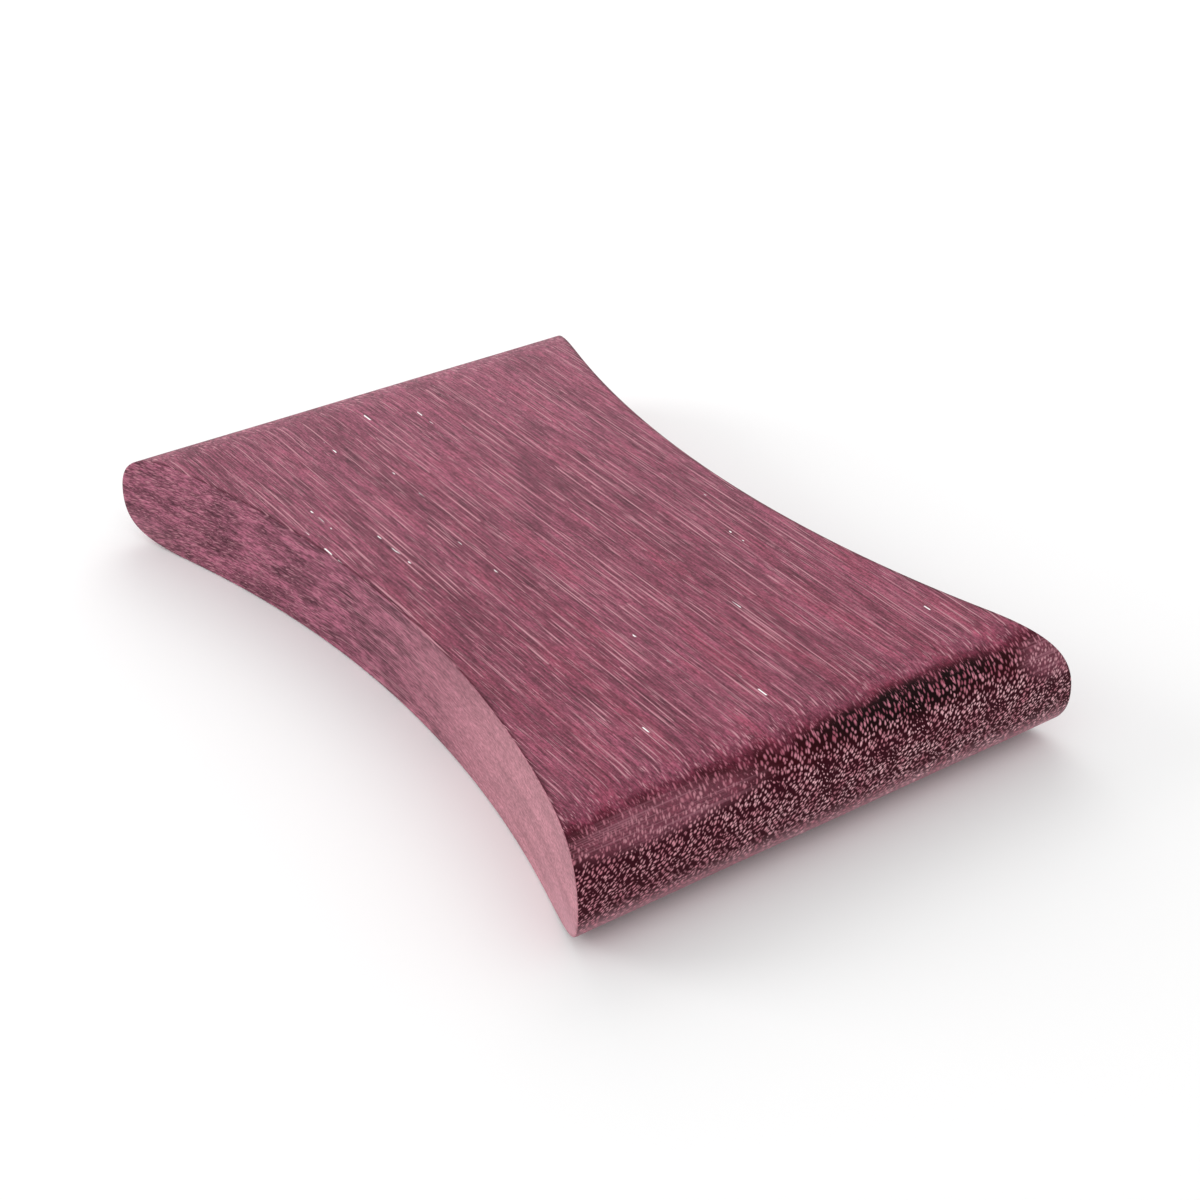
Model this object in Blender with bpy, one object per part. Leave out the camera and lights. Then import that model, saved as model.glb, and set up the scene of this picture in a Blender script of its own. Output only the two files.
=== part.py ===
"""A hardwood shoulder rest block: one slab with a waisted outline and two rounded ends.

The block lies flat on its lower face, centred on the origin. X runs across it, Y runs
along it and along the grain, and Z is up. All sizes are in metres.
"""

import math

import bmesh
import bpy

BLOCK_NAME = "rest_block"
PART_COLLECTION = "violin_shoulder_rest"
CUTTER_COLLECTION = "cutters"

# The slab.
LENGTH = 0.1000
END_WIDTH = 0.0655
WAIST_WIDTH = 0.0475
THICKNESS = 0.0127

# The rounded ends, seen from the side. Each flat face turns into the end's tip over the
# reach, and the tip lies a little below the middle of the slab. The handles say how long
# the curve hugs the face and the upright at the tip, as shares of the way it has to go.
NOSE_REACH = 0.0106
TIP_DROP = 0.00025
TIP_HEIGHT = THICKNESS / 2 - TIP_DROP
FACE_HANDLE = 0.76
TIP_HANDLE = 0.70
NOSE_STEPS = 24

# The hollowed long sides, each cut by one large cylinder.
HOLLOW_DEPTH = (END_WIDTH - WAIST_WIDTH) / 2
HOLLOW_RADIUS = ((LENGTH / 2) ** 2 + HOLLOW_DEPTH ** 2) / (2 * HOLLOW_DEPTH)
HOLLOW_STEPS = 512

# Spare stock: the slab starts this much wider on each side, and the cutters stand this
# much above and below it.
SPARE = 0.010
BLANK_WIDTH = END_WIDTH + 2 * SPARE
CUTTER_HEIGHT = THICKNESS + 2 * SPARE

WELD_DISTANCE = 0.00001
CREASE_ANGLE = math.radians(30)

WOOD_COLOUR = (0.27, 0.095, 0.125, 1.0)
WOOD_ROUGHNESS = 0.50


def clear_scene():
    """Remove every object, so that the part is built into an empty scene."""
    for item in list(bpy.data.objects):
        bpy.data.objects.remove(item, do_unlink=True)


def add_collection(name):
    """Make a collection in the scene."""
    collection = bpy.data.collections.new(name)
    bpy.context.scene.collection.children.link(collection)
    return collection


def wood_material():
    """Oiled purpleheart in its plain average colour."""
    material = bpy.data.materials.new("purpleheart")
    material.use_nodes = True
    shader = material.node_tree.nodes["Principled BSDF"]
    shader.inputs["Base Color"].default_value = WOOD_COLOUR
    shader.inputs["Roughness"].default_value = WOOD_ROUGHNESS
    shader.inputs["Metallic"].default_value = 0.0
    return material


def rounded_end(end):
    """List one end's points, lower face to upper, each with the handles before and after it.

    end is 1 for the end at +Y and -1 for the end at -Y. None stands for a straight side.
    """
    tip = end * LENGTH / 2
    face_end = tip - end * NOSE_REACH
    face_hug = face_end + end * FACE_HANDLE * NOSE_REACH
    below_tip = TIP_HEIGHT * (1 - TIP_HANDLE)
    above_tip = TIP_HEIGHT + (THICKNESS - TIP_HEIGHT) * TIP_HANDLE
    return [
        ((face_end, 0), None, (face_hug, 0)),
        ((tip, TIP_HEIGHT), (tip, below_tip), (tip, above_tip)),
        ((face_end, THICKNESS), (face_hug, THICKNESS), None),
    ]


def side_profile():
    """List the points of the closed side profile, anticlockwise as seen from +X."""
    rising = rounded_end(1)
    falling = [(point, after, before) for point, before, after in reversed(rounded_end(-1))]
    return rising + falling


def set_handle(point, side, position):
    """Place one handle of a curve point, or make that side straight."""
    if position is None:
        setattr(point, f"handle_{side}_type", "VECTOR")
    else:
        setattr(point, f"handle_{side}_type", "FREE")
        setattr(point, f"handle_{side}", (*position, 0))


def profile_curve(collection):
    """Draw the side profile upright along Y and extrude it across X."""
    curve = bpy.data.curves.new("side_profile", "CURVE")
    curve.dimensions = "2D"
    curve.fill_mode = "BOTH"
    curve.resolution_u = NOSE_STEPS
    curve.extrude = BLANK_WIDTH / 2
    profile = side_profile()
    spline = curve.splines.new("BEZIER")
    spline.bezier_points.add(len(profile) - 1)
    spline.use_cyclic_u = True
    for point, (position, before, after) in zip(spline.bezier_points, profile):
        point.co = (*position, 0)
        set_handle(point, "left", before)
        set_handle(point, "right", after)
    drawn = bpy.data.objects.new("side_profile", curve)
    drawn.rotation_euler = (math.pi / 2, 0, math.pi / 2)
    collection.objects.link(drawn)
    return drawn


def evaluated_mesh(item):
    """Make a mesh of an object as it stands, with its modifiers."""
    bpy.context.view_layer.update()
    depsgraph = bpy.context.evaluated_depsgraph_get()
    return bpy.data.meshes.new_from_object(item.evaluated_get(depsgraph))


def weld(mesh):
    """Join the points that lie on top of each other, and face the mesh outwards."""
    shell = bmesh.new()
    shell.from_mesh(mesh)
    bmesh.ops.remove_doubles(shell, verts=shell.verts, dist=WELD_DISTANCE)
    bmesh.ops.recalc_face_normals(shell, faces=shell.faces)
    shell.to_mesh(mesh)
    shell.free()


def blank_slab(collection):
    """Make the slab with both ends rounded and its long sides still straight."""
    drawn = profile_curve(collection)
    mesh = evaluated_mesh(drawn)
    weld(mesh)
    slab = bpy.data.objects.new(BLOCK_NAME, mesh)
    slab.matrix_world = drawn.matrix_world
    collection.objects.link(slab)
    bpy.data.objects.remove(drawn, do_unlink=True)
    return slab


def side_cutter(name, side, collection):
    """Make the upright cylinder that hollows one long side. side is 1 for +X, -1 for -X."""
    mesh = bpy.data.meshes.new(name)
    cylinder = bmesh.new()
    bmesh.ops.create_cone(
        cylinder,
        cap_ends=True,
        segments=HOLLOW_STEPS,
        radius1=HOLLOW_RADIUS,
        radius2=HOLLOW_RADIUS,
        depth=CUTTER_HEIGHT,
    )
    cylinder.to_mesh(mesh)
    cylinder.free()
    cutter = bpy.data.objects.new(name, mesh)
    cutter.location = (side * (WAIST_WIDTH / 2 + HOLLOW_RADIUS), 0, THICKNESS / 2)
    cutter.hide_render = True
    cutter.display_type = "WIRE"
    collection.objects.link(cutter)
    return cutter


def cut(target, cutter):
    """Take the cutter away from the target."""
    modifier = target.modifiers.new(cutter.name, "BOOLEAN")
    modifier.operation = "DIFFERENCE"
    modifier.solver = "EXACT"
    modifier.object = cutter


def settle(item):
    """Keep the result of an object's modifiers as its own mesh, smooth between its creases."""
    mesh = evaluated_mesh(item)
    item.modifiers.clear()
    item.data = mesh
    mesh.name = item.name
    mesh.shade_smooth()
    mesh.set_sharp_from_angle(angle=CREASE_ANGLE)


def build():
    """Build the whole part."""
    clear_scene()
    part = add_collection(PART_COLLECTION)
    cutters = add_collection(CUTTER_COLLECTION)
    block = blank_slab(part)
    for name, side in (("left_hollow", -1), ("right_hollow", 1)):
        cut(block, side_cutter(name, side, cutters))
    settle(block)
    block.data.materials.append(wood_material())


build()
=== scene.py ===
"""The looks of the shoulder rest block: one piece of oiled purpleheart on a pale studio floor.

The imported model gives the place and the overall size. The wood is a fine mesh of the same
shape with eased edges and a hand-sanded surface, and a procedural material whose vessels run
through the solid along Y, so that they show as lines on the faces and as dots on the ends.
"""

import math
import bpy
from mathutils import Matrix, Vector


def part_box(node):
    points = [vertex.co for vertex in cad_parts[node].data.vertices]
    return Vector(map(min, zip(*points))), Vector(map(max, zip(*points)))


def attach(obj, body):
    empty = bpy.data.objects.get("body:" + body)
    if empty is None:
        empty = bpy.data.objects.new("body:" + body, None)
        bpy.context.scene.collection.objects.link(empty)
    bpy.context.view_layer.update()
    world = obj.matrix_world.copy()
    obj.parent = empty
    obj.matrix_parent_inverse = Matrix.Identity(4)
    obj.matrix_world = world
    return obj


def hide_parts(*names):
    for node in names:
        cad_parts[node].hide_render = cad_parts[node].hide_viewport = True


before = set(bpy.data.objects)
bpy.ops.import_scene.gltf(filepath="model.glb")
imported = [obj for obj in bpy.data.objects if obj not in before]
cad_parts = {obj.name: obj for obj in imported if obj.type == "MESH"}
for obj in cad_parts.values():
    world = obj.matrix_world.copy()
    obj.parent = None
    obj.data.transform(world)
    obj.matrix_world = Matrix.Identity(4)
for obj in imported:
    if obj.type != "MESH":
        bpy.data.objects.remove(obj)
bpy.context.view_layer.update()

from types import SimpleNamespace

import bmesh
import bpy
import numpy as np
from mathutils import Matrix, Vector, noise

NODE = "rest_block"
BODY = "root"
PIECE = "purpleheart_block"

MM = 0.001
TO_MM = 1 / MM

# ---------------------------------------------------------------- the block's shape
# The side profile's curve is the one in part.py.
NOSE_REACH = 10.6 * MM
TIP_DROP = 0.25 * MM
FACE_HANDLE = 0.76
TIP_HANDLE = 0.70

# The fine mesh.
NOSE_STEPS = 30
FLAT_STEP = 0.7 * MM
ACROSS_STEP = 0.7 * MM
WALL_RINGS = (0.45 * MM, 1.1 * MM, 2.2 * MM)
WALL_ROWS = 8
ARRIS_RADIUS = 0.20 * MM
ARRIS_SEGMENTS = 3
ARRIS_PROFILE = 0.5  # a circular arc
CREASE_ANGLE = math.radians(40)

# The map to bake the wood through.
MAP_NAME = "OFBake"
MAP_GAP = 1.5 * MM
SIDE_FACING = math.sin(math.radians(45))  # a face's normal X, from where it is a side

# Hand sanding leaves the faces very slightly wavy. The waves only go inwards.
SANDING_DEPTH = 0.05 * MM
SANDING_WAVE = 14 * MM
SANDING_STRETCH = 2.5

low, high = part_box(NODE)
LENGTH = high.y - low.y
END_WIDTH = high.x - low.x
THICKNESS = high.z - low.z
WAIST_WIDTH = 2 * min(abs(v.co.x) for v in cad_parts[NODE].data.vertices)
TIP_HEIGHT = THICKNESS / 2 - TIP_DROP
FLAT_HALF = LENGTH / 2 - NOSE_REACH
HOLLOW_DEPTH = (END_WIDTH - WAIST_WIDTH) / 2
HOLLOW_RADIUS = ((LENGTH / 2) ** 2 + HOLLOW_DEPTH ** 2) / (2 * HOLLOW_DEPTH)


def half_width(y):
    """Half the block's width at y: the waist, plus the sag of the hollow's arc."""
    return WAIST_WIDTH / 2 + HOLLOW_RADIUS - math.sqrt(HOLLOW_RADIUS ** 2 - y ** 2)


def bezier(start, first, second, end, share):
    """The point of a Bezier curve at a share of its way."""
    rest = 1 - share
    return (
        start * rest ** 3
        + first * 3 * rest ** 2 * share
        + second * 3 * rest * share ** 2
        + end * share ** 3
    )


def nose_curve(face_z):
    """One face's turn at the +Y end: from where the flat ends to the tip, as (y, z)."""
    tip = Vector((LENGTH / 2, TIP_HEIGHT))
    start = Vector((FLAT_HALF, face_z))
    first = start + Vector((FACE_HANDLE * NOSE_REACH, 0))
    second = Vector((LENGTH / 2, TIP_HEIGHT + TIP_HANDLE * (face_z - TIP_HEIGHT)))
    return [bezier(start, first, second, tip, i / NOSE_STEPS) for i in range(NOSE_STEPS + 1)]


def face_line(face_z):
    """One face's profile from the tip at -Y to the tip at +Y, as (y, z), evenly stepped."""
    turn = nose_curve(face_z)
    steps = round(2 * FLAT_HALF / FLAT_STEP)
    flat = [
        Vector((FLAT_HALF * (2 * i / steps - 1), face_z)) for i in range(1, steps)
    ]
    behind = [Vector((-p.x, p.y)) for p in reversed(turn)]
    return behind + flat + turn


def inset(loop, distance):
    """The closed loop moved inwards. The loop runs anticlockwise in (y, z)."""
    moved = []
    for i, point in enumerate(loop):
        along = (loop[(i + 1) % len(loop)] - loop[i - 1]).normalized()
        moved.append(point + distance * Vector((-along.y, along.x)))
    return moved


def add_wrap(mesh, loop, columns):
    """Make the faces that go round the block, and return its two rims."""
    rows = []
    for point in loop:
        half = half_width(point.x)
        row = [
            mesh.verts.new((half * (2 * c / columns - 1), point.x, point.y))
            for c in range(columns + 1)
        ]
        rows.append(row)
    for i, row in enumerate(rows):
        ahead = rows[(i + 1) % len(rows)]
        for c in range(columns):
            mesh.faces.new((row[c], row[c + 1], ahead[c + 1], ahead[c]))
    return [row[0] for row in rows], [row[-1] for row in rows]


def add_wall(mesh, rim, loop, side):
    """Fill one hollowed side, from its rim inwards. side is 1 for +X and -1 for -X."""

    def wall_vertex(point):
        return mesh.verts.new((side * half_width(point.x), point.x, point.y))

    outer = rim
    for distance in WALL_RINGS:
        ring = inset(loop, distance)
        inner = [wall_vertex(point) for point in ring]
        for i in range(len(loop)):
            j = (i + 1) % len(loop)
            mesh.faces.new((outer[i], inner[i], inner[j], outer[j])[::side])
        outer = inner
    half = len(loop) // 2
    columns = [[outer[0]] * (WALL_ROWS + 1)]
    for i in range(1, half):
        top, bottom = outer[-i], outer[i]
        between = [
            ring[i].lerp(ring[-i], row / WALL_ROWS) for row in range(1, WALL_ROWS)
        ]
        columns.append([bottom, *(wall_vertex(point) for point in between), top])
    columns.append([outer[half]] * (WALL_ROWS + 1))
    for left, right in zip(columns, columns[1:]):
        for row in range(WALL_ROWS):
            corners = (left[row], right[row], right[row + 1], left[row + 1])
            corners = tuple(dict.fromkeys(corners))
            mesh.faces.new(corners[::side])


def ease_arrises(mesh, rims):
    """Round over the rims, where the hollowed sides meet the faces and the ends."""
    edges = []
    for rim in rims:
        for i, vertex in enumerate(rim):
            edges.append(mesh.edges.get((vertex, rim[(i + 1) % len(rim)])))
    bmesh.ops.bevel(
        mesh,
        geom=edges,
        offset=ARRIS_RADIUS,
        offset_type="OFFSET",
        segments=ARRIS_SEGMENTS,
        profile=ARRIS_PROFILE,
        affect="EDGES",
    )


def sand(mesh):
    """Press the surface in by a slow wave, as hand sanding does."""
    mesh.normal_update()
    moves = []
    for vertex in mesh.verts:
        place = Vector(vertex.co) / SANDING_WAVE
        place.y /= SANDING_STRETCH
        depth = 0.5 + 0.5 * noise.noise(place)
        moves.append(vertex.normal * -SANDING_DEPTH * min(max(depth, 0), 1))
    for vertex, move in zip(mesh.verts, moves):
        vertex.co += move


def nose_table(face_z):
    """How far round its turn each point of a nose is: the angles, and the ways from the flat."""
    turn = nose_curve(face_z)
    angles = [nose_angle(point.x, point.y) for point in turn]
    steps = [(b - a).length for a, b in zip(turn, turn[1:])]
    ways = [sum(steps[:i]) for i in range(len(turn))]
    return angles, ways


def nose_angle(y, z):
    """The angle at the nose's centre between straight up or down and the point at (y, z)."""
    return math.atan2(abs(y) - FLAT_HALF, abs(z - TIP_HEIGHT))


def unrolled(y, z, table):
    """The way along the wrap from the middle of a face to the point at (y, z)."""
    if abs(y) <= FLAT_HALF:
        return y
    way = FLAT_HALF + float(np.interp(nose_angle(y, z), *table))
    return math.copysign(way, y)


def add_bake_map(mesh):
    """Lay the upper and lower halves of the wrap and the two sides out on a square.

    A bake of the wood through this map gets the same detail on every face.
    """
    upper, lower = nose_table(THICKNESS), nose_table(0)
    wrap_half = FLAT_HALF + max(upper[1][-1], lower[1][-1])
    side_edge = 2 * wrap_half + 2 * MAP_GAP
    square = side_edge + 2 * (THICKNESS + MAP_GAP)
    layer = mesh.uv_layers.new(name=MAP_NAME)
    for face in mesh.polygons:
        is_side = abs(face.normal.x) > SIDE_FACING
        is_upper = face.center.z > TIP_HEIGHT
        for corner in face.loop_indices:
            x, y, z = mesh.vertices[mesh.loops[corner].vertex_index].co
            if is_side:
                lift = 0 if x < 0 else THICKNESS + MAP_GAP
                place = (side_edge + lift + z, MAP_GAP + LENGTH / 2 + y)
            else:
                lift = MAP_GAP if is_upper else 2 * MAP_GAP + END_WIDTH
                way = unrolled(y, z, upper if is_upper else lower)
                place = (MAP_GAP + wrap_half + way, lift + END_WIDTH / 2 + x)
            layer.uv[corner].vector = Vector(place) / square


def block_mesh():
    """The block's fine mesh: the wrap round its faces and ends, and its two hollowed sides."""
    upper = face_line(THICKNESS)
    lower = face_line(0)
    loop = lower[:-1] + upper[:0:-1]
    columns = round(END_WIDTH / ACROSS_STEP)
    shape = bmesh.new()
    left_rim, right_rim = add_wrap(shape, loop, columns)
    add_wall(shape, left_rim, loop, -1)
    add_wall(shape, right_rim, loop, 1)
    bmesh.ops.recalc_face_normals(shape, faces=shape.faces)
    ease_arrises(shape, (left_rim, right_rim))
    sand(shape)
    mesh = bpy.data.meshes.new(PIECE)
    shape.to_mesh(mesh)
    shape.free()
    mesh.shade_smooth()
    mesh.set_sharp_from_angle(angle=CREASE_ANGLE)
    add_bake_map(mesh)
    return mesh


# ---------------------------------------------------------------- node helpers
MIX_COLOUR_A, MIX_COLOUR_B, MIX_COLOUR_RESULT = 6, 7, 2  # a Mix node's colour sockets


def add_node(tree, kind, **settings):
    """Add a node with its settings."""
    node = tree.nodes.new(kind)
    for name, value in settings.items():
        setattr(node, name, value)
    return node


def feed(tree, socket, value):
    """Link a socket to an output, or set it to a plain value."""
    if isinstance(value, bpy.types.NodeSocket):
        tree.links.new(value, socket)
    else:
        socket.default_value = value


def calc(tree, operation, *values):
    """A Math node's output."""
    node = add_node(tree, "ShaderNodeMath", operation=operation)
    for socket, value in zip(node.inputs, values):
        feed(tree, socket, value)
    return node.outputs[0]


def vector(tree, operation, *values):
    """A Vector Math node's vector output."""
    node = add_node(tree, "ShaderNodeVectorMath", operation=operation)
    for socket, value in zip(node.inputs, values):
        feed(tree, socket, value)
    return node.outputs["Vector"]


def parts(tree, value):
    """The X, Y and Z of a vector."""
    node = add_node(tree, "ShaderNodeSeparateXYZ")
    feed(tree, node.inputs[0], value)
    return node.outputs


def cloud(tree, place, scale, detail=2.0, roughness=0.5):
    """A Noise node's outputs. scale is how many features a mm has along each axis."""
    node = add_node(tree, "ShaderNodeTexNoise", noise_dimensions="3D")
    feed(tree, node.inputs["Vector"], vector(tree, "MULTIPLY", place, scale))
    node.inputs["Scale"].default_value = 1.0
    node.inputs["Detail"].default_value = detail
    node.inputs["Roughness"].default_value = roughness
    return node.outputs


def soft_step(tree, value, start, end, low_value=0.0, high_value=1.0):
    """A number that goes smoothly from low_value at start to high_value at end."""
    node = add_node(tree, "ShaderNodeMapRange", interpolation_type="SMOOTHSTEP")
    for name, given in (
        ("Value", value),
        ("From Min", start),
        ("From Max", end),
        ("To Min", low_value),
        ("To Max", high_value),
    ):
        feed(tree, node.inputs[name], given)
    return node.outputs[0]


def mix(tree, share, first, second, blend="MIX"):
    """Two colours mixed, or the first one blended with the second, by a share."""
    node = add_node(tree, "ShaderNodeMix", data_type="RGBA", blend_type=blend)
    feed(tree, node.inputs["Factor"], share)
    feed(tree, node.inputs[MIX_COLOUR_A], first)
    feed(tree, node.inputs[MIX_COLOUR_B], second)
    return node.outputs[MIX_COLOUR_RESULT]


def shade(tree, colour, factor):
    """A colour made lighter or darker by a factor."""
    node = add_node(tree, "ShaderNodeVectorMath", operation="SCALE")
    feed(tree, node.inputs[0], colour)
    feed(tree, node.inputs["Scale"], factor)
    return node.outputs["Vector"]


def larger(tree, first, second):
    """The larger of two numbers."""
    return calc(tree, "MAXIMUM", first, second)


def product(tree, first, second):
    """The product of two numbers."""
    return calc(tree, "MULTIPLY", first, second)


def scaled(tree, number, field, start, end, low_value, high_value):
    """A number multiplied by a factor that follows a field."""
    return product(tree, number, soft_step(tree, field, start, end, low_value, high_value))


def adjusted(tree, number, share, factor):
    """A number multiplied by a factor, in the places where a share is 1."""
    return scaled(tree, number, share, 0.0, 1.0, 1.0, factor)


def blended(tree, share, first, second):
    """A number that goes from the first to the second as a share goes from 0 to 1."""
    return soft_step(tree, share, 0.0, 1.0, first, second)


def combined(tree, x, y, z):
    """A vector with these parts."""
    node = add_node(tree, "ShaderNodeCombineXYZ")
    for socket, value in zip(node.inputs, (x, y, z)):
        feed(tree, socket, value)
    return node.outputs[0]


def length(tree, value):
    """The length of a vector."""
    node = add_node(tree, "ShaderNodeVectorMath", operation="LENGTH")
    feed(tree, node.inputs[0], value)
    return node.outputs["Value"]


# ---------------------------------------------------------------- purpleheart: its values
# Colours, as linear light.
PLUM = (0.205, 0.045, 0.078, 1)
CRIMSON = (0.209, 0.045, 0.076, 1)
MAUVE = (0.222, 0.056, 0.092, 1)
PALER_AT_BACK = (0.256, 0.073, 0.117, 1)
FLANK = (0.250, 0.079, 0.121, 1)
# Partly paler wood, and partly a painted sheen of bright light on the flanks.
FLANK_PALE_SHEEN = (0.405, 0.179, 0.215, 1)
LINE = (0.56, 0.265, 0.315, 1)
BAND_GROUND = (0.055, 0.0028, 0.0085, 1)
END_GROUND = (0.036, 0.0028, 0.0080, 1)
# Painted light: the pale floor reflected low on the ends.
FLOOR_REFLECTION = (0.48, 0.255, 0.300, 1)
BURGUNDY = (0.64, 0.41, 0.49, 1)
END_DOT = (1.00, 0.560, 0.620, 1)
END_DOT_DIM = (0.62, 0.230, 0.290, 1)
SCRAPED = (0.36, 0.150, 0.190, 1)
# Painted light: a glint's highlight painted into the colour.
GLINT = (1.0, 0.96, 0.96, 1)

# Gloss and relief.
SPECULAR_LEVEL = 0.05
INDEX_OF_REFRACTION = 1.5
WOOD_ROUGHNESS = 0.42
LINE_ROUGHNESS = 0.60
GROOVE_DEPTH = 0.08 * MM
RELIEF_STRENGTH = 0.7

# From here on, lengths are in mm. A noise is written as its features in a mm along X, Y and Z,
# its levels of detail and, where it isn't 0.5, the roughness of the detail. What is named BY
# something follows it by a step: that something's start and end, then the share or factor at
# the start and at the end, which are 0 and 1 where they aren't given.

# The vessels run along Y, dip a little towards the front end, and wander across the grain.
# Each wander is a noise and how far it moves a vessel.
GRAIN_DIP = math.radians(1.1)
GRAIN_WAY = (0, math.cos(GRAIN_DIP), -math.sin(GRAIN_DIP))
WANDERS = (
    (((0.07, 0.010, 0.07), 1.0), 1.4),
    (((0.65, 0.020, 0.65), 1.0), 0.42),
    (((2.4, 0.050, 2.4), 1.0), 0.19),
)
MIDDLE_GREY = (0.5, 0.5, 0.5)  # the mean colour of a noise

# A flank is a hollow side, and a turned surface is an end. Facing is 0 to 1: how straight the
# surface faces along X, or along the grain.
FLANK_BY_FACING = (0.30, 0.80)
TURNED_BY_FACING = (0.08, 0.50)

# Places that differ, as centres and reaches.
PATCH_EDGE = (1.0, 0.35)  # in shares of the reach
SCRAPED_PATCHES = (
    ((-21, -47.4, 11.2), (16, 2.8, 2.4)),
    ((31, -47.8, 10.6), (6, 3.2, 3.2)),
)
DARK_PATCH = ((12, -46.6, 11.8), (19, 3.4, 3.0))
# The pale flanks: partly paler wood, partly a painted sheen of bright light at a grazing angle.
PALE_SHEEN_FLANKS = (
    ((-32, -60, 6), (40, 74, 34)),
    ((32, 60, 6), (40, 74, 34)),
)
SMUDGE = ((13.0, 14.5, 12.7), (0.7, 2.6, 2.0))
SMUDGE_STRENGTH = 0.6

# The oil. It soaks in deeper where the surface turns across the grain.
SOAK_NOISE = ((0.35, 0.35, 0.35), 2.0)
SOAK_BY_NOISE = (0.30, 0.70, 0.82, 1.18)
SOAK_BY_FACING_X = (0.30, 0.80, 1.0, 0.20)
SOAK_BY_Y = (20.0, 45.0, 1.0, 0.55)
DARK_PATCH_SOAK = 1.30
DARK_PATCH_SHADE = 0.20
SOAKED_BY_SOAK = (0.18, 0.40)
SOAKED_IF_SCRAPED = 0.40
END_GROUND_BY_FACING = (0.45, 0.85)
OILED_BY_SOAK = (0.13, 0.27)
OILED_BY_FACING = (0.40, 0.90, 1.0, 0.0)
OILED_IF_SCRAPED = 0.35

# Single vessels, and zones of rows of small ones that are longer than wide and lean over.
# A vessel shows narrower on a long face, where it is half sanded away. Each has its own number,
# 0 to 1, and those with low numbers are faint. An edge is where a vessel starts to show, and
# where it shows in full, in shares of its radius.
VESSEL_SPACING = 0.38
VESSEL_SCATTER = 0.80
ROW_SPACING = 0.26
ROW_STRETCH = 2.4
ROW_LEAN = math.radians(-31)
ROW_ZONE_NOISE = ((0.30, 0.10, 0.30), 2.0)
ROW_ZONE_BY_NOISE = (0.34, 0.42)
LINE_RADIUS = 0.050
END_RADIUS = 0.077
RADIUS_BY_NUMBER = (0.0, 1.0, 0.75, 1.20)
VESSEL_EDGE = (1.50, 0.35)
VESSEL_BY_NUMBER = (0.35, 0.75)
FAINT_BY_TURNED = (0.05, 0.35, 0.20, 0.70)
VESSEL_IF_SCRAPED = 0.85
VESSEL_ON_FLANK = 0.50
# The vessels fade under the painted sheen of the pale flanks.
VESSEL_ON_PALE_SHEEN_FLANK = 0.30

# Fine pale lines between the vessels, on the faces that run along the grain.
HAIR_SPACING = 0.21
HAIR_RADIUS = 0.036
HAIR_EDGE = (1.4, 0.6)
HAIR_BY_NUMBER = (0.10, 0.80, 0.25, 1.0)
HAIR_BREAKS = ((1.6, 0.45, 1.6), 3.0, 0.65)
HAIR_BY_BREAKS = (0.40, 0.58, 0.12, 1.0)
HAIR_ON_FLANK = 0.80
HAIR_BY_TURNED = (0.3, 0.8, 1.0, 0.0)

# A few short painted glints: highlights where vessels catch the light, painted as bright colour
# in vessels of their own.
GLINT_SPACING = 2.3
GLINT_RADIUS = 0.12
GLINT_EDGE = (1.0, 0.6)
GLINT_SPOTS = ((0.55, 0.42, 0.55), 1.0)
GLINT_BY_SPOTS = (0.60, 0.62, 0.0, 1.0)
GLINT_BY_TURNED = (0.0, 0.3, 1.0, 0.0)

# The wood between the vessels, on the upper and lower faces. A reach is how much darker and
# lighter its noise makes the wood, at the two ends of the noise.
FACE_BANDS = ((0.26, 0.016, 0.26), 3.0)
FACE_BLOTCHES = ((0.34, 0.075, 0.34), 2.0)
FACE_FIBRES = ((4.5, 0.16, 4.5), 3.0, 0.65)
FACE_STROKES = ((4.2, 0.70, 4.2), 2.0, 0.6)
FACE_SPECKLE = ((5.5, 3.0, 5.5), 2.0, 0.7)
MAUVE_BY_BANDS = (0.36, 0.64)
CRIMSON_BY_BLOTCHES = (0.48, 0.68)
PALER_AT_BACK_BY_Y = (-30, 48, 0.0, 0.55)
NOISE_ENDS = (0.30, 0.70)
BAND_REACH = 0.13
BLOTCH_REACH = 0.13
FIBRE_REACH = 0.44
STROKE_REACH = 0.22
SPECKLE_REACH = 0.28

# The wood between the vessels, on the hollow sides: torn on one half, smooth and pale on the
# other. The paleness is partly paler wood and partly a painted sheen of bright light caught at a
# grazing angle.
FLANK_WAVES = ((0.20, 0.030, 0.45), 2.0)
FLANK_POCKETS = ((0.45, 0.13, 0.75), 2.0)
FLANK_STROKES = ((1.8, 0.55, 5.0), 2.0, 0.55)
FLANK_SPECKLE = ((5.5, 1.2, 5.5), 2.0, 0.6)
TORN_BY_POCKETS = (0.36, 0.60, 0.62, 1.14)
TORN_BY_STROKES = (0.38, 0.62, 0.58, 1.32)
SMOOTH_BY_STROKES = (0.38, 0.62, 0.90, 1.10)
SMOOTH_BY_PALE_SHEEN = (0.0, 0.8)
SHADE_BY_WAVES = (0.32, 0.68, 0.86, 1.12)
SHADE_BY_SPECKLE = (0.30, 0.70, 0.76, 1.24)

# The dark line along the rims of the hollows.
EDGE_LINE_WIDTH = 0.70
EDGE_LINE_STRENGTH = 0.80
EDGE_LINE_BY_FLANK = (0.0, 0.5, 1.0, 0.0)

# The dots on the ends: brighter in places, and dimmer at the left.
DOT_NOISE = ((0.6, 0.6, 0.6), 2.0)
DOT_BY_NOISE = (0.35, 0.65)
DOT_BY_X = (-32.0, 10.0, 0.35, 1.0)

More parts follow.
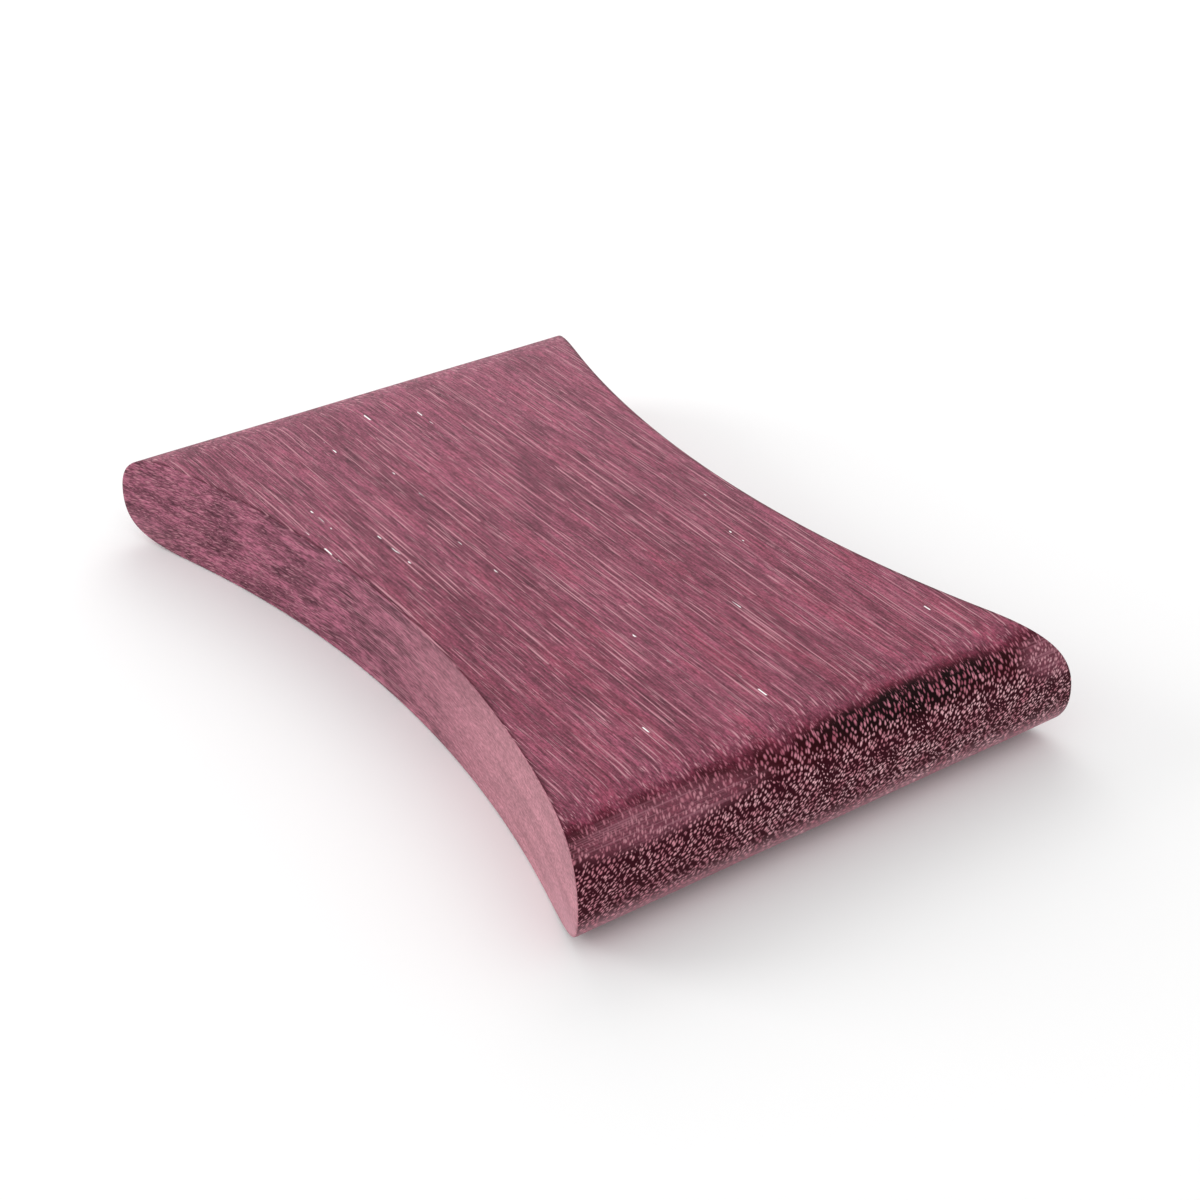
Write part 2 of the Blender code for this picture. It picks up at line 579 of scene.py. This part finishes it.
# A painted reflection of the pale floor low on the ends, mostly on the near one, and scratches
# where it is scraped.
FLOOR_REFLECTION_BY_Z = (5.8, 1.8, 0.0, 0.72)
FLOOR_REFLECTION_BY_TURNED = (0.3, 0.8, 0.0, 1.0)
FLOOR_REFLECTION_BY_Y = (-20.0, 20.0, 1.0, 0.25)
SCRATCH_NOISE = ((0.05, 5.0, 5.0), 1.0)
SCRATCH_BY_NOISE = (0.50, 0.66, 0.20, 0.70)

# The relief: vessels are grooves on the long faces and stand proud on the ends.
RELIEF_BY_TURNED = (0.2, 0.6, -1.0, 1.0)


# ---------------------------------------------------------------- purpleheart: its places
def patch(tree, place, centre, reach):
    """1 around a centre, and 0 from the reach outwards."""
    apart = vector(tree, "DIVIDE", vector(tree, "SUBTRACT", place, centre), reach)
    return soft_step(tree, length(tree, apart), *PATCH_EDGE)


def any_patch(tree, place, patches):
    """1 around any of several centres, and 0 elsewhere."""
    share = 0.0
    for centre, reach in patches:
        share = larger(tree, share, patch(tree, place, centre, reach))
    return share


def grain_place(tree, place):
    """The place, moved across the grain as the vessels dip and slowly wander along Y."""
    along = parts(tree, place)
    fall = product(tree, along["Y"], math.tan(GRAIN_DIP))
    place = combined(tree, along["X"], along["Y"], calc(tree, "ADD", along["Z"], fall))
    for wander, reach in WANDERS:
        drift = cloud(tree, place, *wander)["Color"]
        centred = vector(tree, "SUBTRACT", drift, MIDDLE_GREY)
        place = vector(tree, "ADD", place, vector(tree, "MULTIPLY", centred, (reach, 0, reach)))
    return place


def read_surface(tree):
    """Where each point of the block is, which way it faces, and how its place differs."""
    coordinates = add_node(tree, "ShaderNodeTexCoord")
    place = vector(tree, "MULTIPLY", coordinates.outputs["Object"], (TO_MM,) * 3)
    facing_x = calc(tree, "ABSOLUTE", parts(tree, coordinates.outputs["Normal"])["X"])
    along_grain = add_node(tree, "ShaderNodeVectorMath", operation="DOT_PRODUCT")
    feed(tree, along_grain.inputs[0], coordinates.outputs["Normal"])
    feed(tree, along_grain.inputs[1], GRAIN_WAY)
    facing_grain = calc(tree, "ABSOLUTE", along_grain.outputs["Value"])
    flank = soft_step(tree, facing_x, *FLANK_BY_FACING)
    return SimpleNamespace(
        place=place,
        grained=grain_place(tree, place),
        facing_x=facing_x,
        facing_grain=facing_grain,
        flank=flank,
        pale_sheen_flank=product(tree, flank, any_patch(tree, place, PALE_SHEEN_FLANKS)),
        turned=soft_step(tree, facing_grain, *TURNED_BY_FACING),
        scraped=adjusted(tree, any_patch(tree, place, SCRAPED_PATCHES), flank, 0.0),
    )


def soaking(tree, at):
    """How deep the oil has soaked in."""
    soak = scaled(tree, at.facing_grain, at.facing_x, *SOAK_BY_FACING_X)
    soak = adjusted(tree, soak, patch(tree, at.place, *DARK_PATCH), DARK_PATCH_SOAK)
    soak = scaled(tree, soak, parts(tree, at.place)["Y"], *SOAK_BY_Y)
    return scaled(tree, soak, cloud(tree, at.place, *SOAK_NOISE)[0], *SOAK_BY_NOISE)


# ---------------------------------------------------------------- purpleheart: its vessels
def nearest_vessel(tree, grained, spacing, stretch=1.0, lean=0.0, scatter=1.0):
    """How far each point is from its nearest vessel, and that vessel's own number, 0 to 1."""
    along = parts(tree, grained)
    leaning = add_node(tree, "ShaderNodeVectorRotate", rotation_type="Z_AXIS")
    feed(tree, leaning.inputs["Vector"], combined(tree, along["X"], along["Z"], 0.0))
    leaning.inputs["Angle"].default_value = lean
    node = add_node(tree, "ShaderNodeTexVoronoi", voronoi_dimensions="2D", feature="F1")
    shortened = vector(tree, "MULTIPLY", leaning.outputs[0], (1 / stretch, 1, 1))
    feed(tree, node.inputs["Vector"], shortened)
    node.inputs["Scale"].default_value = 1 / spacing
    node.inputs["Randomness"].default_value = scatter
    distance = product(tree, node.outputs["Distance"], spacing)
    return distance, parts(tree, node.outputs["Color"])["X"]


def inside(tree, distance, radius, edge):
    """1 near a vessel's middle and 0 away from it. The edge is in shares of the radius."""
    outer, inner = edge
    return soft_step(tree, distance, product(tree, radius, outer), product(tree, radius, inner))


def vessel_share(tree, at):
    """1 in the vessels and 0 between them."""
    single, single_number = nearest_vessel(
        tree, at.grained, VESSEL_SPACING, scatter=VESSEL_SCATTER
    )
    row, row_number = nearest_vessel(
        tree, at.grained, ROW_SPACING, ROW_STRETCH, ROW_LEAN, VESSEL_SCATTER
    )
    zone = soft_step(tree, cloud(tree, at.place, *ROW_ZONE_NOISE)[0], *ROW_ZONE_BY_NOISE)
    distance = blended(tree, zone, single, row)
    number = blended(tree, zone, single_number, row_number)
    radius = blended(tree, at.turned, LINE_RADIUS, END_RADIUS)
    radius = scaled(tree, radius, number, *RADIUS_BY_NUMBER)
    share = inside(tree, distance, radius, VESSEL_EDGE)
    faint = soft_step(tree, at.turned, *FAINT_BY_TURNED)
    share = scaled(tree, share, number, *VESSEL_BY_NUMBER, faint, 1.0)
    share = adjusted(tree, share, at.scraped, VESSEL_IF_SCRAPED)
    share = adjusted(tree, share, at.flank, VESSEL_ON_FLANK)
    return adjusted(tree, share, at.pale_sheen_flank, VESSEL_ON_PALE_SHEEN_FLANK)


def hair_share(tree, at):
    """1 in the fine lines between the vessels, on the faces that run along the grain."""
    distance, number = nearest_vessel(tree, at.grained, HAIR_SPACING)
    share = inside(tree, distance, HAIR_RADIUS, HAIR_EDGE)
    share = scaled(tree, share, number, *HAIR_BY_NUMBER)
    share = scaled(tree, share, cloud(tree, at.grained, *HAIR_BREAKS)[0], *HAIR_BY_BREAKS)
    share = adjusted(tree, share, at.flank, HAIR_ON_FLANK)
    return scaled(tree, share, at.turned, *HAIR_BY_TURNED)


def glint_share(tree, at):
    """1 in the painted glints, the highlights painted on the upper and lower faces."""
    distance = nearest_vessel(tree, at.grained, GLINT_SPACING)[0]
    share = inside(tree, distance, GLINT_RADIUS, GLINT_EDGE)
    share = scaled(tree, share, cloud(tree, at.grained, *GLINT_SPOTS)[0], *GLINT_BY_SPOTS)
    return scaled(tree, share, larger(tree, at.turned, at.flank), *GLINT_BY_TURNED)


# ---------------------------------------------------------------- purpleheart: its colours
def face_grain(tree, at):
    """The colour between the vessels of the upper and lower faces."""
    bands = cloud(tree, at.place, *FACE_BANDS)[0]
    blotches = cloud(tree, at.place, *FACE_BLOTCHES)[0]
    colour = mix(tree, soft_step(tree, bands, *MAUVE_BY_BANDS), PLUM, MAUVE)
    colour = mix(tree, soft_step(tree, blotches, *CRIMSON_BY_BLOTCHES), colour, CRIMSON)
    # Paler and more mauve towards the back end.
    paler_at_back = soft_step(tree, parts(tree, at.place)["Y"], *PALER_AT_BACK_BY_Y)
    colour = mix(tree, paler_at_back, colour, PALER_AT_BACK)
    for field, reach in (
        (bands, BAND_REACH),
        (blotches, BLOTCH_REACH),
        (cloud(tree, at.grained, *FACE_FIBRES)[0], FIBRE_REACH),
        (cloud(tree, at.place, *FACE_STROKES)[0], STROKE_REACH),
        (cloud(tree, at.place, *FACE_SPECKLE)[0], SPECKLE_REACH),
    ):
        colour = shade(tree, colour, soft_step(tree, field, *NOISE_ENDS, 1 - reach, 1 + reach))
    return colour


def flank_grain(tree, at):
    """The colour between the vessels of the hollow sides."""
    strokes = cloud(tree, at.place, *FLANK_STROKES)[0]
    torn = soft_step(tree, cloud(tree, at.place, *FLANK_POCKETS)[0], *TORN_BY_POCKETS)
    torn = scaled(tree, torn, strokes, *TORN_BY_STROKES)
    smooth = soft_step(tree, strokes, *SMOOTH_BY_STROKES)
    # Paler towards the pale flanks: partly paler wood, partly a painted sheen.
    colour = mix(tree, at.pale_sheen_flank, FLANK, FLANK_PALE_SHEEN)
    for factor in (
        soft_step(tree, at.pale_sheen_flank, *SMOOTH_BY_PALE_SHEEN, torn, smooth),
        soft_step(tree, cloud(tree, at.place, *FLANK_WAVES)[0], *SHADE_BY_WAVES),
        soft_step(tree, cloud(tree, at.place, *FLANK_SPECKLE)[0], *SHADE_BY_SPECKLE),
    ):
        colour = shade(tree, colour, factor)
    return colour


def edge_line(tree, at):
    """1 on the faces' rims along the two hollows, and 0 a line's width away from them."""
    along = parts(tree, at.place)
    across = calc(tree, "ABSOLUTE", along["X"])
    centre = (WAIST_WIDTH / 2 + HOLLOW_RADIUS) * TO_MM
    spoke = combined(tree, calc(tree, "SUBTRACT", across, centre), along["Y"], 0.0)
    past_rim = calc(tree, "SUBTRACT", length(tree, spoke), HOLLOW_RADIUS * TO_MM)
    line = soft_step(tree, past_rim, EDGE_LINE_WIDTH, 0.0)
    return scaled(tree, line, at.flank, *EDGE_LINE_BY_FLANK)


def oiled_ground(tree, at, soak):
    """The wood between the vessels: dark where the oil has soaked in."""
    endwise = soft_step(tree, at.facing_grain, *END_GROUND_BY_FACING)
    soaked = mix(tree, endwise, BAND_GROUND, END_GROUND)
    darker = shade(tree, soaked, DARK_PATCH_SHADE)
    soaked = mix(tree, patch(tree, at.place, *DARK_PATCH), soaked, darker)
    share = soft_step(tree, soak, *SOAKED_BY_SOAK)
    share = adjusted(tree, share, at.scraped, SOAKED_IF_SCRAPED)
    along = mix(tree, at.flank, face_grain(tree, at), flank_grain(tree, at))
    ground = mix(tree, share, along, soaked)
    smudge = product(tree, patch(tree, at.place, *SMUDGE), SMUDGE_STRENGTH)
    rim = product(tree, edge_line(tree, at), EDGE_LINE_STRENGTH)
    return mix(tree, larger(tree, smudge, rim), ground, END_GROUND)


def floor_reflection(tree, at):
    """How much painted reflection of the pale floor lies on the wood, from 0 to 1."""
    along = parts(tree, at.place)
    share = soft_step(tree, along["Z"], *FLOOR_REFLECTION_BY_Z)
    share = scaled(tree, share, at.turned, *FLOOR_REFLECTION_BY_TURNED)
    return scaled(tree, share, along["Y"], *FLOOR_REFLECTION_BY_Y)


def vessel_colour(tree, at):
    """The colour of the vessels: pale lines along the grain, and bright dots across it."""
    bright = soft_step(tree, cloud(tree, at.place, *DOT_NOISE)[0], *DOT_BY_NOISE)
    bright = scaled(tree, bright, parts(tree, at.place)["X"], *DOT_BY_X)
    return mix(tree, at.turned, LINE, mix(tree, bright, END_DOT_DIM, END_DOT))


def oil_tint(tree, at, soak):
    """How much the oil tints the vessels and the wood burgundy, from 0 to 1."""
    share = soft_step(tree, soak, *OILED_BY_SOAK)
    share = scaled(tree, share, at.facing_grain, *OILED_BY_FACING)
    return adjusted(tree, share, at.scraped, OILED_IF_SCRAPED)


def wood_colour(tree, at, vessel):
    """The colour of the block, layer by layer from the ground up."""
    soak = soaking(tree, at)
    # A painted reflection of the pale floor, low on the ends.
    colour = mix(tree, floor_reflection(tree, at), oiled_ground(tree, at, soak), FLOOR_REFLECTION)
    colour = mix(tree, hair_share(tree, at), colour, LINE)
    colour = mix(tree, vessel, colour, vessel_colour(tree, at))
    colour = mix(tree, oil_tint(tree, at, soak), colour, BURGUNDY, blend="MULTIPLY")
    scratches = cloud(tree, at.place, *SCRATCH_NOISE)[0]
    colour = mix(tree, scaled(tree, at.scraped, scratches, *SCRATCH_BY_NOISE), colour, SCRAPED)
    # Painted glints: highlights painted into the colour.
    return mix(tree, glint_share(tree, at), colour, GLINT)


def wood_relief(tree, at, vessel):
    """The normal: vessels sunk into the long faces, and proud of the ends."""
    bump = add_node(tree, "ShaderNodeBump")
    bump.inputs["Strength"].default_value = RELIEF_STRENGTH
    bump.inputs["Distance"].default_value = GROOVE_DEPTH
    feed(tree, bump.inputs["Height"], scaled(tree, vessel, at.turned, *RELIEF_BY_TURNED))
    return bump.outputs[0]


def purpleheart():
    """Oiled purpleheart, solid through the block."""
    material = bpy.data.materials.new("purpleheart")
    material.use_nodes = True
    tree = material.node_tree
    shader = tree.nodes["Principled BSDF"]
    at = read_surface(tree)
    vessel = vessel_share(tree, at)
    feed(tree, shader.inputs["Base Color"], wood_colour(tree, at, vessel))
    roughness = blended(tree, vessel, WOOD_ROUGHNESS, LINE_ROUGHNESS)
    feed(tree, shader.inputs["Roughness"], roughness)
    feed(tree, shader.inputs["Normal"], wood_relief(tree, at, vessel))
    shader.inputs["Metallic"].default_value = 0.0
    shader.inputs["IOR"].default_value = INDEX_OF_REFRACTION
    shader.inputs["Specular IOR Level"].default_value = SPECULAR_LEVEL
    return material


# ---------------------------------------------------------------- the studio
# Lengths are in metres again.

# The photographed view. Its distance and target are in block lengths, and its focal length is a
# share of the sensor's width.
VIEW_AZIMUTH = math.radians(-35.30)
VIEW_ELEVATION = math.radians(31.95)
VIEW_ROLL = math.radians(0.15)
VIEW_DISTANCE = 2.634
VIEW_TARGET = Vector((0.0125, -0.0555, 0.0650))
FOCAL_SHARE = 1.9002
SENSOR_WIDTH = 36.0
NEAREST_SEEN = 0.01

FLOOR_SIDE = 6.0
FLOOR_GAP = 0.05 * MM
FLOOR_COLOUR = (0.97, 0.97, 0.97, 1)
FLOOR_ROUGHNESS = 0.9
FLOOR_SPECULAR_LEVEL = 0.1

# Square soft lights low behind the block: name, direction, distance, size and radiance.
SOFTBOXES = (
    ("back_right_softbox", (0.49, 0.69, 0.53), 0.80, 0.55, 1.6),
    ("back_left_softbox", (-0.70, 0.62, 0.30), 0.90, 0.45, 5.0),
)
WORLD_COLOUR = (1.0, 1.0, 1.0, 1)
WORLD_STRENGTH = 0.86


def view_axes():
    """The camera's right, up and backward directions."""
    azimuth, elevation = VIEW_AZIMUTH, VIEW_ELEVATION
    back = Vector(
        (
            math.sin(azimuth) * math.cos(elevation),
            -math.cos(azimuth) * math.cos(elevation),
            math.sin(elevation),
        )
    )
    right = Vector((math.cos(azimuth), math.sin(azimuth), 0))
    up = back.cross(right)
    turned_right = right * math.cos(VIEW_ROLL) + up * math.sin(VIEW_ROLL)
    turned_up = up * math.cos(VIEW_ROLL) - right * math.sin(VIEW_ROLL)
    return turned_right, turned_up, back


def add_camera():
    """A camera at the photographed angle."""
    data = bpy.data.cameras.new("studio_camera")
    data.lens = FOCAL_SHARE * SENSOR_WIDTH
    data.sensor_width = SENSOR_WIDTH
    data.clip_start = NEAREST_SEEN
    camera = bpy.data.objects.new("studio_camera", data)
    right, up, back = view_axes()
    turn = Matrix((right, up, back)).transposed()
    place = VIEW_TARGET * LENGTH + back * VIEW_DISTANCE * LENGTH
    camera.matrix_world = Matrix.Translation(place) @ turn.to_4x4()
    bpy.context.scene.collection.objects.link(camera)
    bpy.context.scene.camera = camera


def floor_material():
    """Plain, pale and matt."""
    material = bpy.data.materials.new("pale_floor")
    material.use_nodes = True
    shader = material.node_tree.nodes["Principled BSDF"]
    shader.inputs["Base Color"].default_value = FLOOR_COLOUR
    shader.inputs["Roughness"].default_value = FLOOR_ROUGHNESS
    shader.inputs["Specular IOR Level"].default_value = FLOOR_SPECULAR_LEVEL
    return material


def add_floor():
    """A wide pale floor, just under the block."""
    mesh = bpy.data.meshes.new("floor")
    half = FLOOR_SIDE / 2
    corners = [(-half, -half, 0), (half, -half, 0), (half, half, 0), (-half, half, 0)]
    mesh.from_pydata(corners, [], [(0, 1, 2, 3)])
    mesh.materials.append(floor_material())
    floor = bpy.data.objects.new("floor", mesh)
    floor.location = (0, 0, low.z - FLOOR_GAP)
    bpy.context.scene.collection.objects.link(floor)


def add_softbox(name, direction, distance, size, radiance):
    """A square soft light that faces the block."""
    data = bpy.data.lights.new(name, "AREA")
    data.shape = "SQUARE"
    data.size = size
    data.energy = radiance * math.pi * size ** 2
    light = bpy.data.objects.new(name, data)
    light.location = Vector(direction).normalized() * distance
    light.rotation_euler = (-light.location).to_track_quat("-Z", "Y").to_euler()
    bpy.context.scene.collection.objects.link(light)


def add_world():
    """Even, pale light from all round."""
    world = bpy.data.worlds.new("studio")
    world.use_nodes = True
    background = world.node_tree.nodes["Background"]
    background.inputs["Color"].default_value = WORLD_COLOUR
    background.inputs["Strength"].default_value = WORLD_STRENGTH
    bpy.context.scene.world = world


def add_studio():
    """Floor, lights, camera and a plain view transform."""
    add_floor()
    for softbox in SOFTBOXES:
        add_softbox(*softbox)
    add_world()
    add_camera()
    bpy.context.scene.view_settings.view_transform = "Standard"


def build_block():
    """The block's visible piece, in place of the CAD solid."""
    block = bpy.data.objects.new(PIECE, block_mesh())
    bpy.context.scene.collection.objects.link(block)
    block.data.materials.append(purpleheart())
    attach(block, BODY)
    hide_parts(NODE)


build_block()
add_studio()
